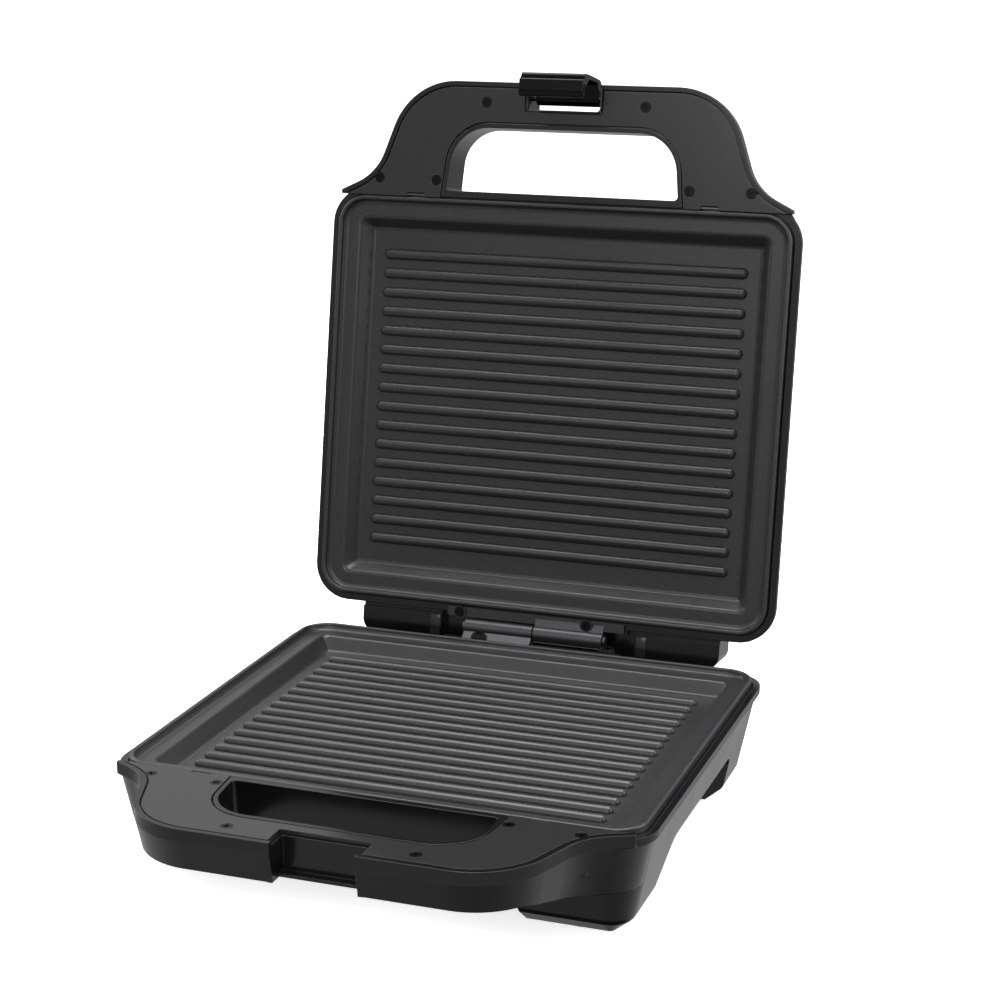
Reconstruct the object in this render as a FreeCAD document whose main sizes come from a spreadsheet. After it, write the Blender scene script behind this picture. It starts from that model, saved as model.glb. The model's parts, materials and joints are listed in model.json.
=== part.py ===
import FreeCAD, Part

import math
import os
import re

import Sketcher
from FreeCAD import Placement, Rotation, Vector

# A panini press: a base and a lid with ribbed grill plates, joined by a die-cast hinge at the
# rear, each with a handle hoop at the front, and a latch on the lid's hoop.
#
# Row frame: millimetres, +Z up, X to the right, Y to the rear.  The feet stand on z = 0 and the
# origin lies under the middle of the open press.  Every piece of the base or the lid is drawn in
# its half's own frame: x and y from the middle of the grill plate, z from the floor between the
# ribs, +z towards the food.  The lid's frame is turned over and then swung open.

# Driving sizes are numbers; a text that starts with "=" follows other sizes.
SIZES = {
    # grill plates
    "plate_half_width": 123.5,
    "plate_half_depth": 107.2,
    "plate_corner": 15.0,
    "lip_width": 2.3,
    "lip_top": 10.5,
    "ledge_top": 7.0,
    "ledge_width": 9.3,
    "skirt_bottom": 3.5,
    "pan_taper": 36.0,
    "plate_floor": 3.0,
    "rib_count": 16.0,
    "rib_pitch": "=(2 * plate_half_depth - 60.95) / (rib_count - 1)",
    "rib_radius": 2.9,
    "rib_length": "=2 * plate_half_width - 47",
    "lip_round": 0.9,
    "pan_round": 2.5,
    # rim that carries each plate
    "plate_gap": 0.7,
    "rim_flange": 3.6,
    "rim_top": 7.0,
    "rim_lip": 3.5,
    "rim_ledge_bottom": 0.5,
    "rim_ledge_width": 6.5,
    "fit_gap": 0.2,
    # housings
    "wall": 2.5,
    "rim_overhang": 1.6,
    "draft": 12.0,
    "body_corner": 20.0,
    "rebate_wall": 1.0,
    "base_wall_bottom": -18.0,
    "leg_bevel_top": -36.0,
    "leg_bottom": -43.5,
    "leg_bevel": 50.0,
    "leg_round": 5.0,
    "leg_core_bottom": -30.0,
    "base_floor_thickness": 2.0,
    "lid_shoulder": -13.0,
    "lid_crown": -26.0,
    "lid_shoulder_taper": 38.0,
    "lid_shoulder_round": 9.0,
    "lid_post_bottom": -19.0,
    # legs
    "front_leg_back_top": "=65.2 - plate_half_depth",
    "front_leg_back_bottom": "=35.2 - plate_half_depth",
    "rear_leg_front": "=plate_half_depth - 45.2",
    "leg_inside_top": 66.0,
    "leg_inside_bottom": 69.0,
    "arch_round": 7.0,
    "rib_floor_height": 45.0,
    "foot_radius": 4.8,
    "foot_recess": 1.2,
    "foot_edge_round": 0.5,
    "front_foot_y": "=21.2 - plate_half_depth",
    "rear_foot_y": "=plate_half_depth - 23.2",
    "foot_half_span": "=plate_half_width - 31",
    # handle hoops
    "handle_front": "=plate_half_depth + 61.4",
    "handle_rear": "=plate_half_depth + 0.4",
    "handle_shoulder_x": "=plate_half_width - 20.6",
    "handle_shoulder_y": "=plate_half_depth + 12",
    "handle_corner_x": "=plate_half_width - 37.8",
    "handle_tip_x": "=plate_half_width + 3.3",
    "handle_shoulder_round": 28.0,
    "handle_corner_round": 36.0,
    "hoop_bottom": -8.5,
    "tip_end_x": "=plate_half_width - 0.9",
    "tip_bottom": 4.7,
    "tip_edge_round": 0.6,
    "hoop_merge_round": 22.0,
    "hoop_merge_y": "=plate_half_depth - 19.2",
    "hoop_slope_front": "=plate_half_depth + 45.8",
    "hoop_slope_rear": "=plate_half_depth + 6.8",
    "liner_thickness": 2.0,
    "liner_gap": 0.8,
    "liner_seat": 1.5,
    "grip_rear_x": 66.3,
    "grip_front_x": 62.3,
    "grip_front_y": "=plate_half_depth + 40.8",
    "grip_round": 24.0,
    "grip_wall": 3.2,
    "grip_rear_y": "=plate_half_depth + 4.3",
    # latch notch and latch
    "notch_x": 0.8,
    "notch_half_width": 19.3,
    "notch_depth": 13.6,
    "catch_lip_reach": 4.3,
    "catch_lip_thickness": 1.5,
    "latch_half_width": 17.0,
    "latch_pivot_y": "=-plate_half_depth - 54.3",
    "latch_pivot_z": 1.5,
    "latch_pin_radius": 1.5,
    "latch_pin_clearance": 0.06,
    "latch_barrel_radius": 3.6,
    "latch_thickness": 2.4,
    "latch_outside_y": "=-plate_half_depth - 65.1",
    "latch_roll_bottom_y": "=-plate_half_depth - 54.4",
    "latch_barb_thickness": 3.4,
    "latch_barb_y": "=-plate_half_depth - 52.8",
    "latch_barb_clearance": 0.45,
    # hinge
    "hinge_y": "=plate_half_depth + 11.3",
    "hinge_z": 12.9,
    "closed_gap": 21.4,
    "opening_angle": 100.0,
    "knuckle_radius": 4.5,
    "knuckle_length": 37.6,
    "knuckle_gap": 0.8,
    "hinge_pin_radius": 2.0,
    "hinge_pin_clearance": 0.05,
    "leaf_thickness": 1.6,
    "leaf_half_length": 49.0,
    "leaf_front_y": "=plate_half_depth + 1.2",
    "leaf_rear_y": "=plate_half_depth + 6.2",
    "near_screw_x": 28.5,
    "far_screw_x": 42.2,
    "hinge_screw_y": "=plate_half_depth + 3.8",
    "leaf_pad_top": 12.2,
    "upper_pad_top": 10.0,
    "leaf_pad_radius": 3.3,
    # lobes at the rear of the lid
    "lobe_inside_x": 54.0,
    "lobe_outside_x": 99.5,
    "lobe_rear_y": "=plate_half_depth + 20.3",
    "lobe_face": 5.0,
    "lobe_corner": 7.0,
    "lobe_draft": 3.0,
    "bridge_face": -1.0,
    "bridge_rear_y": "=plate_half_depth + 20",
    # heating and electrical pieces
    "reflector_half_width": "=plate_half_width - 19.5",
    "reflector_half_depth": "=plate_half_depth - 19.2",
    "reflector_corner": 12.0,
    "reflector_flange_width": 15.0,
    "reflector_sheet": 0.8,
    "reflector_flange_top": -4.0,
    "reflector_floor": -10.2,
    "element_radius": 3.25,
    "element_half_width": "=plate_half_width - 41.5",
    "element_half_depth": "=plate_half_depth - 45.2",
    "element_bend": 24.0,
    "element_tail_x": 26.0,
    "post_x": "=plate_half_width - 9",
    "post_y": "=plate_half_depth - 37.2",
    "post_radius": 3.6,
    "cord_inlet_x": -78.0,
    "cord_inlet_z": -9.5,
    "cord_hole_radius": 4.0,
    "bushing_radius": 6.0,
    "bushing_flange_radius": 7.5,
    "bushing_flange": 2.0,
    "inlet_boss_radius": 8.3,
    "inlet_face_y": "=plate_half_depth + 3.8",
    # fasteners
    "screw_radius": 1.45,
    "screw_head_radius": 2.85,
    "screw_head_depth": 1.5,
    "screw_length": 9.0,
    "cross_width": 0.8,
    # plate clips
    "clip_x": 80.0,
    "clip_width": 9.0,
    "clip_sheet": 0.8,
    # indicator lamps
    "lens_radius": 3.5,
    "lens_x": 16.0,
    "lens_y": "=29.2 - plate_half_depth",
    "lens_flange": 1.0,
    # where the plates' middle lies in the row frame
    "plate_centre_y": -10.6,
}

doc = FreeCAD.newDocument("PaniniPress")
sheet = doc.addObject("Spreadsheet::Sheet", "Sizes")
for row, (alias, value) in enumerate(SIZES.items(), start=1):
    sheet.set(f"A{row}", alias)
    sheet.set(f"B{row}", str(value))
    sheet.setAlias(f"B{row}", alias)
doc.recompute()

SUBPARTS = []


# ---------------------------------------------------------------- expressions and outlines


def bound(expression):
    """The expression with each size's name written as the sheet's cell."""
    return re.sub(
        r"[a-z][a-z_]+",
        lambda word: "Sizes." + word.group(0) if word.group(0) in SIZES else word.group(0),
        expression,
    )


def size(expression):
    """The value that an expression of sizes has now."""
    return float(sheet.evalExpression(bound(expression)))


def sizes(*expressions):
    return [size(expression) for expression in expressions]


def inset(corners, distances):
    """Move each edge of a counter-clockwise outline inwards by its own distance.

    corners: (x, y, radius), edge i runs from corner i to corner i + 1.
    """
    count = len(corners)
    lines = []
    for i in range(count):
        start = Vector(corners[i][0], corners[i][1], 0)
        end = Vector(corners[(i + 1) % count][0], corners[(i + 1) % count][1], 0)
        along = (end - start).normalize()
        inward = Vector(-along.y, along.x, 0)
        lines.append((start + inward * distances[i], along))
    moved = []
    for i in range(count):
        (p, a), (q, b) = lines[i - 1], lines[i]
        turn = a.x * b.y - a.y * b.x
        step = ((q.x - p.x) * b.y - (q.y - p.y) * b.x) / turn
        meet = p + a * step
        shift = min(distances[i - 1], distances[i])
        radius = corners[i][2]
        if radius > 0:
            radius = max(radius - shift if turn > 0 else radius + shift, 0.2)
        moved.append((meet.x, meet.y, radius))
    return moved


def rounded(corners):
    """Lines and arcs of a closed outline whose corners have radii."""
    count = len(corners)
    joints = []
    for i in range(count):
        x, y, radius = corners[i]
        here = Vector(x, y, 0)
        before = Vector(corners[i - 1][0], corners[i - 1][1], 0)
        after = Vector(corners[(i + 1) % count][0], corners[(i + 1) % count][1], 0)
        to_before = (before - here).normalize()
        to_after = (after - here).normalize()
        half = to_before.getAngle(to_after) / 2
        if radius <= 0:
            joints.append((here, None, here))
            continue
        reach = radius / math.tan(half)
        middle = (to_before + to_after).normalize()
        centre = here + middle * (radius / math.sin(half))
        joints.append((here + to_before * reach, centre - middle * radius, here + to_after * reach))
    edges = []
    for i in range(count):
        first, middle, last = joints[i]
        if middle is not None:
            edges.append(Part.Arc(first, middle, last))
        edges.append(Part.LineSegment(last, joints[(i + 1) % count][0]))
    return edges


def box_outline(half_x, low_y, high_y, radius=0.0):
    return [
        (-half_x, low_y, radius),
        (half_x, low_y, radius),
        (half_x, high_y, radius),
        (-half_x, high_y, radius),
    ]


def box_at(x, y, half_x, half_y, radius=0.0):
    return [(x + px, y + py, r) for px, py, r in box_outline(half_x, -half_y, half_y, radius)]


# ---------------------------------------------------------------- document objects


def new_body(label):
    body = doc.addObject("PartDesign::Body", label)
    body.Label = label
    return body


def new_sketch(body, plane, offset):
    """A sketch on one of the body's origin planes, offset along the plane's normal."""
    sketch = body.newObject("Sketcher::SketchObject", f"{body.Name}_sketch")
    support = [f for f in body.Origin.OriginFeatures if f.Role == plane][0]
    sketch.AttachmentSupport = (support, "")
    sketch.MapMode = "FlatFace"
    sketch.setExpression(".AttachmentOffset.Base.z", bound(offset))
    return sketch


def draw(body, plane, offset, outlines=(), circles=()):
    """outlines: corner lists; circles: (x, y, radius expression), the radius bound to the sheet."""
    sketch = new_sketch(body, plane, offset)
    for corners in outlines:
        sketch.addGeometry(rounded(corners), False)
    for x, y, radius in circles:
        circle = Part.Circle(Vector(x, y, 0), Vector(0, 0, 1), size(radius))
        index = sketch.addGeometry(circle, False)
        datum = sketch.addConstraint(Sketcher.Constraint("Radius", index, size(radius)))
        sketch.setExpression(f"Constraints[{datum}]", bound(radius))
    return sketch


def solid_step(body, kind, sketch, length, reverse=False, taper=None):
    feature = body.newObject(f"PartDesign::{kind}", f"{body.Name}_{kind.lower()}")
    feature.Profile = sketch
    feature.Type = "Length"
    feature.setExpression("Length", bound(length))
    feature.Reversed = reverse
    if taper:
        feature.setExpression("TaperAngle", bound(taper))
    sketch.Visibility = False
    return feature


def pad(body, offset, length, outlines=(), circles=(), plane="XY_Plane", down=False, taper=None):
    """Add material from the sketch plane, up its normal, or down it."""
    sketch = draw(body, plane, offset, outlines, circles)
    return solid_step(body, "Pad", sketch, length, down, taper)


def pocket(body, offset, length, outlines=(), circles=(), plane="XY_Plane", up=False, taper=None):
    """Cut material from the sketch plane, down its normal, or up it."""
    sketch = draw(body, plane, offset, outlines, circles)
    return solid_step(body, "Pocket", sketch, length, up, taper)


def spin(body, kind, plane, offset, corners, axis="H_Axis"):
    """Turn an outline about the sketch's own axis."""
    sketch = draw(body, plane, offset, [corners])
    feature = body.newObject(f"PartDesign::{kind}", f"{body.Name}_{kind.lower()}")
    feature.Profile = sketch
    feature.ReferenceAxis = (sketch, [axis])
    feature.Angle = 360
    return feature


def flat_edges(shape, height, reach=1e9):
    """Names of the edges that lie level at a height, within a reach from the middle."""
    names = []
    for number, edge in enumerate(shape.Edges, start=1):
        box = edge.BoundBox
        if abs(box.ZMin - height) < 1e-4 and abs(box.ZMax - height) < 1e-4:
            if max(abs(box.XMin), abs(box.XMax)) < reach:
                names.append(f"Edge{number}")
    return names


def round_edges(body, names, radius):
    """Round some edges of the body's last feature."""
    base = body.Tip
    fillet = body.newObject("PartDesign::Fillet", f"{body.Name}_fillet")
    fillet.Base = (base, names)
    fillet.setExpression("Radius", bound(radius))
    doc.recompute()
    return fillet


# ---------------------------------------------------------------- outlines of the handle hoop


def hoop_outline():
    """Outside of the hoop: counter-clockwise from its front left corner."""
    front, rear, shoulder_x, shoulder_y = sizes(
        "-handle_front", "-handle_rear", "handle_shoulder_x", "-handle_shoulder_y"
    )
    corner_x, tip_x = sizes("handle_corner_x", "handle_tip_x")
    corner_r, shoulder_r = sizes("handle_corner_round", "handle_shoulder_round")
    return [
        (-corner_x, front, corner_r),
        (corner_x, front, corner_r),
        (shoulder_x, shoulder_y, shoulder_r),
        (tip_x, rear, 0.0),
        (-tip_x, rear, 0.0),
        (-shoulder_x, shoulder_y, shoulder_r),
    ]


def wing_y(x):
    """Where the hoop's straight wing, from shoulder to tip, is at x."""
    shoulder_x, shoulder_y, tip_x, tip_y = sizes(
        "handle_shoulder_x", "-handle_shoulder_y", "handle_tip_x", "-handle_rear"
    )
    return shoulder_y + (tip_y - shoulder_y) * (x - shoulder_x) / (tip_x - shoulder_x)


def blunt_hoop_outline():
    """The hoop's outline with its wing tips cut blunt."""
    left_front, right_front, right_shoulder, right_tip, left_tip, left_shoulder = hoop_outline()
    end_x, edge_r = sizes("tip_end_x", "tip_edge_round")
    rear = right_tip[1]
    return [
        left_front,
        right_front,
        right_shoulder,
        (end_x, wing_y(end_x), edge_r),
        (end_x, rear, 0.0),
        (-end_x, rear, 0.0),
        (-end_x, wing_y(end_x), edge_r),
        left_shoulder,
    ]


def merging_hoop_outline():
    """The hoop below its wing tips, where its sides turn into the housing's side walls."""
    left_front, right_front, right_shoulder, right_tip, left_tip, left_shoulder = hoop_outline()
    side_x = body_outline()[1][0]
    rear, merge_r = sizes("-hoop_merge_y", "hoop_merge_round")
    return [
        left_front,
        right_front,
        right_shoulder,
        (side_x, wing_y(side_x), merge_r),
        (side_x, rear, 0.0),
        (-side_x, rear, 0.0),
        (-side_x, wing_y(side_x), merge_r),
        left_shoulder,
    ]


def liner_outline(outer, rear, inner):
    """The hoop's U shape round the grip opening, with its edges moved inwards by three distances."""
    left_front, right_front, right_shoulder, right_tip, left_tip, left_shoulder = hoop_outline()
    grip_r, grip_rear_x, grip_front_x, grip_front_y = sizes(
        "grip_round", "grip_rear_x", "grip_front_x", "-grip_front_y"
    )
    rear_y = size("-handle_rear")
    corners = [
        left_front,
        right_front,
        right_shoulder,
        right_tip,
        (grip_rear_x, rear_y, 0.0),
        (grip_front_x, grip_front_y, grip_r),
        (-grip_front_x, grip_front_y, grip_r),
        (-grip_rear_x, rear_y, 0.0),
        left_tip,
        left_shoulder,
    ]
    distances = [outer, outer, outer, rear, inner, inner, inner, rear, outer, outer]
    return inset(corners, distances)


def grip_outline():
    """The opening that the hand goes through."""
    rear_x, front_x, front_y, rear_y, grip_r, wall = sizes(
        "grip_rear_x", "grip_front_x", "-grip_front_y", "-grip_rear_y", "grip_round", "grip_wall"
    )
    corners = [
        (-front_x, front_y, grip_r),
        (front_x, front_y, grip_r),
        (rear_x, rear_y, 2.0),
        (-rear_x, rear_y, 2.0),
    ]
    return inset(corners, [wall, wall, 0.0, wall])


def notch_outline(depth, over):
    """The latch notch in the middle of the hoop's front edge, open to the front."""
    return notch_box(size("notch_half_width"), -over, depth)


def notch_box(half, low, high):
    """A box about the notch's middle, measured back from the hoop's front face."""
    middle, front = sizes("notch_x", "-handle_front")
    return box_at(middle, front + (low + high) / 2, half, (high - low) / 2)


LINER_SCREWS = [
    (43.0, size("10.6 - handle_front")),
    (size("handle_shoulder_x - 1.9"), size("-handle_rear - 9.2")),
    (68.8, size("-handle_rear - 9")),
]


def both_sides(points):
    return [(side * x, y) for side in (-1, 1) for x, y in points]


def body_outline(out=0.0):
    """Plan of a housing's outer wall at its top edge; it passes under the hoop at the front."""
    half_x, rear, radius = sizes(
        "plate_half_width + plate_gap + rim_flange - rim_overhang",
        "plate_half_depth + plate_gap + rim_flange - rim_overhang",
        "body_corner",
    )
    front = size("-grip_rear_y + 1")
    return inset(box_outline(half_x, front, rear, radius), [-out] * 4)


def rim_outline(inward=0.0):
    half_x, half_y, radius = sizes(
        "plate_half_width + plate_gap + rim_flange",
        "plate_half_depth + plate_gap + rim_flange",
        "plate_corner + plate_gap + rim_flange",
    )
    return inset(box_outline(half_x, -half_y, half_y, radius), [inward] * 4)


def plate_outline(inward="0"):
    half_x, half_y, radius = sizes(
        f"plate_half_width - ({inward})",
        f"plate_half_depth - ({inward})",
        f"max(plate_corner - ({inward}); 2)",
    )
    return box_outline(half_x, -half_y, half_y, radius)


# ---------------------------------------------------------------- placements


def base_placement():
    return Placement(Vector(0, size("plate_centre_y"), size("rib_floor_height")), Rotation())


def lid_placement():
    """Turned over onto the base, then swung open about the hinge."""
    hinge = base_placement().multVec(Vector(0, size("hinge_y"), size("hinge_z")))
    turned = Rotation(Vector(0, 1, 0), 180)
    origin = base_placement().multVec(Vector(0, 0, size("closed_gap")))
    closed = Placement(origin, turned)
    swing = Rotation(Vector(1, 0, 0), -size("opening_angle"))
    return Placement(hinge, swing) * Placement(-hinge, Rotation()) * closed


# ---------------------------------------------------------------- grill plates and rims


def make_grill_plate(label):
    """Die-cast tray with a raised lip, a ledge, a sloping pan wall and round-topped ribs."""
    body = new_body(label)
    pad(body, "skirt_bottom", "lip_top - skirt_bottom", [plate_outline()])
    pan = plate_outline("lip_width + ledge_width")
    outside = plate_outline("lip_width + ledge_width - plate_floor - 0.2")
    pad(body, "ledge_top", "ledge_top + plate_floor", [outside], down=True, taper="-pan_taper")
    pocket(body, "lip_top", "lip_top - ledge_top", [plate_outline("lip_width")])
    pocket(body, "ledge_top", "ledge_top", [pan], taper="-pan_taper")
    doc.recompute()
    round_edges(body, flat_edges(body.Shape, size("lip_top")), "lip_round")
    ledge_edges = flat_edges(body.Shape, size("ledge_top"), size("plate_half_width - 8"))
    round_edges(body, ledge_edges, "pan_round")
    round_edges(body, flat_edges(body.Shape, 0.0), "pan_round")
    first_y, half, radius = sizes(
        "-rib_pitch * (rib_count - 1) / 2", "rib_length / 2", "rib_radius"
    )
    rib = [
        (-half, 0.0, 0.0),
        (half, 0.0, 0.0),
        (half, radius, radius * 0.98),
        (-half, radius, radius * 0.98),
    ]
    first = spin(body, "Revolution", "XZ_Plane", f"{-first_y}", rib)
    rows = body.newObject("PartDesign::LinearPattern", f"{label}_ribs")
    rows.Originals = [first]
    rows.Direction = ([f for f in body.Origin.OriginFeatures if f.Role == "Y_Axis"][0], [""])
    rows.setExpression("Length", bound("rib_pitch * (rib_count - 1)"))
    rows.setExpression("Occurrences", bound("rib_count"))
    body.Tip = rows
    clip_x, clip_half = sizes("clip_x", "clip_width / 2 + 0.3")
    front = size("-plate_half_depth")
    slots = [box_at(side * clip_x, front, clip_half, 1.0) for side in (-1, 1)]
    pocket(body, "ledge_top - 1.2", "1.4", slots)
    return body


def make_rim(label):
    """Ring that closes the housing round the plate: a flange outside, a ledge under the lip."""
    body = new_body(label)
    inside = plate_outline("-plate_gap")
    ledge_in = plate_outline("rim_ledge_width")
    pad(body, "rim_lip", "rim_top - rim_lip", [rim_outline(), inside])
    ledge_out = body_outline(-size("rebate_wall + fit_gap"))
    pad(body, "rim_ledge_bottom", "rim_lip - rim_ledge_bottom", [ledge_out, ledge_in])
    landing_half, front, rear = sizes(
        "leaf_half_length + 1.5", "plate_half_depth + plate_gap", "leaf_rear_y + fit_gap"
    )
    pad(body, "rim_lip", "rim_top - rim_lip", [box_outline(landing_half, front + 1, rear)])
    handle = box_outline(size("plate_half_width") + 10, -200.0, size("-handle_rear"))
    pocket(body, "rim_top + 1", "rim_top + 1 - rim_lip", [handle])
    holes = [(x, y, "screw_radius") for x, y in hinge_screw_places()]
    pocket(body, "rim_top", "rim_top - rim_lip", circles=holes)
    pocket(body, "rim_lip", "rim_lip - rim_ledge_bottom", clip_slots())
    return body


def clip_slots():
    """Slots for the two plate clips behind the hoop."""
    clip_x, clip_half, rear = sizes("clip_x", "clip_width / 2 + fit_gap", "-handle_rear")
    return [box_at(side * clip_x, rear - 0.9, clip_half, 1.1) for side in (-1, 1)]


def hinge_screw_places():
    near, far, y = sizes("near_screw_x", "far_screw_x", "hinge_screw_y")
    return [(-near, y), (far, y)]


# ---------------------------------------------------------------- housings


def add_hoop(body, low):
    """Handle hoop in front of a housing, still solid.

    Its wing tips are thin blades.  Below them its wall is drafted and turns into the housing's
    side, and its underside slopes down to the housing at the level low.
    """
    pad(body, "lip_top", "lip_top - tip_bottom", [blunt_hoop_outline()], down=True)
    below = f"tip_bottom - ({low})"
    pad(body, "tip_bottom", below, [merging_hoop_outline()], down=True, taper="-draft")
    slope_front, slope_rear, hoop_bottom, level, beyond = sizes(
        "-hoop_slope_front", "-hoop_slope_rear", "hoop_bottom", low, "-handle_front - 20"
    )
    under = [
        (beyond, level - 10, 0.0),
        (slope_rear, level - 10, 0.0),
        (slope_rear, level, 0.0),
        (slope_front, hoop_bottom, 20.0),
        (beyond, hoop_bottom, 0.0),
    ]
    pocket(body, "200", "400", [under], plane="YZ_Plane")


def hollow_hoop(body, low, catch_lip):
    """Liner seat, cavity, grip opening, latch notch and screw posts of a hoop."""
    seat = liner_outline(size("wall"), 0.0, -size("liner_gap"))
    pocket(body, "lip_top", "liner_thickness", [seat])
    cavity = liner_outline(
        size("wall + liner_seat"), size("grip_rear_y + 1 - handle_rear"), size("liner_seat")
    )
    floor = "hoop_bottom + wall"
    seat_floor = "lip_top - liner_thickness"
    pocket(body, seat_floor, f"{seat_floor} - ({floor})", [cavity])
    pocket(body, "lip_top", f"lip_top - ({low})", [grip_outline()])
    half, depth, wall = sizes("notch_half_width", "notch_depth", "wall")
    box = notch_box(half + wall, wall, depth + wall * 0.7)
    pad(body, "hoop_bottom", f"{seat_floor} - hoop_bottom", [box])
    if catch_lip:
        through = depth - size("catch_lip_reach")
        above_lip = "lip_top - hoop_bottom - catch_lip_thickness"
        pocket(body, "lip_top", above_lip, [notch_outline(depth, 5.0)])
        pocket(body, "lip_top", "lip_top - hoop_bottom", [notch_outline(through, 5.0)])
    else:
        pocket(body, "lip_top", "lip_top - hoop_bottom", [notch_outline(depth, 5.0)])
    places = both_sides(LINER_SCREWS)
    posts = [(x, y, "screw_radius + 2") for x, y in places]
    pad(body, "hoop_bottom + wall / 2", f"{seat_floor} - (hoop_bottom + wall / 2)", circles=posts)
    holes = [(x, y, "screw_radius") for x, y in places]
    pocket(body, seat_floor, "screw_length - liner_thickness", circles=holes)
    pocket(body, "lip_top", "lip_top + 2", clip_slots())


def post_places():
    x, y = sizes("post_x", "post_y")
    return both_sides([(x, -y), (x, y)])


def add_posts(body, floor):
    """Posts that the reflector's flange is screwed to."""
    top = "reflector_flange_top - reflector_sheet"
    pad(body, floor, f"{top} - ({floor})", circles=[(x, y, "post_radius") for x, y in post_places()])
    holes = [(x, y, "screw_radius") for x, y in post_places()]
    pocket(body, top, "screw_length - screw_head_depth - reflector_sheet", circles=holes)


def seat_rim(body):
    """Clear the rim's place on top of the wall, behind the handle, and a rebate inside it."""
    half_x = size("plate_half_width + plate_gap + rim_flange + 1")
    rear, back = sizes("-handle_rear", "leaf_rear_y + 2 * fit_gap")
    pocket(body, "lip_top", "lip_top - rim_lip", [box_outline(half_x, rear, back)])
    rebate = body_outline(-size("rebate_wall"))
    pocket(body, "rim_lip", "rim_lip - rim_ledge_bottom + fit_gap", [rebate])


def screw_into_wall(body):
    """Holes for the hinge's screws at the top of the rear wall."""
    places = [(x, y, "screw_radius") for x, y in hinge_screw_places()]
    pocket(body, "rim_lip", "3", circles=places)


def make_base_housing():
    """Lower casing: drafted walls, four hollow legs, handle hoop with the catch lip."""
    body = new_body("base_housing")
    outer = body_outline()
    pad(body, "rim_lip", "rim_lip - leg_bevel_top", [outer], down=True, taper="-draft")
    shrink = size("(rim_lip - leg_bevel_top) * tan(draft)")
    waist = inset(outer, [shrink] * 4)
    pad(body, "leg_bevel_top", "leg_bevel_top - leg_bottom", [waist], down=True, taper="-leg_bevel")
    doc.recompute()
    round_edges(body, flat_edges(body.Shape, size("leg_bevel_top")), "leg_round")
    add_hoop(body, "base_wall_bottom")
    floor = "base_wall_bottom + base_floor_thickness"
    inner = inset(outer, [size("wall")] * 4)
    pocket(body, "rim_lip", f"rim_lip - ({floor})", [inner], taper="-draft")
    pocket(body, "lip_top", "lip_top - rim_lip", [inner])
    over = 2.0
    back_top, back_bottom, rear_leg, arch = sizes(
        "front_leg_back_top", "front_leg_back_bottom", "rear_leg_front", "arch_round"
    )
    wall_bottom, leg_bottom = sizes("base_wall_bottom", "leg_bottom")
    side_arch = [
        (back_bottom, leg_bottom - over, 0.0),
        (rear_leg, leg_bottom - over, 0.0),
        (rear_leg, wall_bottom, arch),
        (back_top, wall_bottom, arch * 2),
    ]
    pocket(body, "200", "400", [side_arch], plane="YZ_Plane")
    inner_top, inner_bottom = sizes("leg_inside_top", "leg_inside_bottom")
    front_arch = [
        (-inner_bottom, leg_bottom - over, 0.0),
        (inner_bottom, leg_bottom - over, 0.0),
        (inner_top, wall_bottom, arch),
        (-inner_top, wall_bottom, arch),
    ]
    pocket(body, "200", "400", [front_arch], plane="XZ_Plane")
    hollow_hoop(body, "base_wall_bottom", True)
    seat_rim(body)
    add_posts(body, floor)
    core_legs(body, floor)
    feet = [(x, y, "foot_radius + 0.1") for x, y in foot_places()]
    pocket(body, "leg_bottom", "foot_recess", circles=feet, up=True)
    inlet_x, inlet_z = sizes("cord_inlet_x", "cord_inlet_z")
    boss = [(inlet_x, inlet_z, "inlet_boss_radius")]
    pad(body, "-inlet_face_y + 6.5", "6.5", circles=boss, plane="XZ_Plane", down=True)
    hole = [(inlet_x, inlet_z, "bushing_radius")]
    pocket(body, "-inlet_face_y", "20", circles=hole, plane="XZ_Plane", up=True)
    screw_into_wall(body)
    return body


def core_legs(body, floor):
    """Hollow the upper part of each leg from inside."""
    wall, inside, leg_x, rear_leg, back_top = sizes(
        "wall", "leg_inside_top", "post_x - post_radius - 0.6", "rear_leg_front", "front_leg_back_top"
    )
    front_y, rear_y = sizes("-grip_rear_y + 14", "plate_half_depth - 10")
    low_x = inside + wall + 1
    cores = []
    for side in (-1, 1):
        for low_y, high_y in ((front_y, back_top - 18), (rear_leg + wall + 14, rear_y)):
            middle = ((low_x + leg_x) / 2 * side, (low_y + high_y) / 2)
            cores.append(box_at(*middle, (leg_x - low_x) / 2, (high_y - low_y) / 2, 3.0))
    pocket(body, floor, f"({floor}) - leg_core_bottom", cores)


def foot_places():
    x, front, rear = sizes("foot_half_span", "front_foot_y", "rear_foot_y")
    return both_sides([(x, front), (x, rear)])


def lens_places():
    x, y = sizes("lens_x", "lens_y")
    return [(-x, y), (x, y)]


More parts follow.
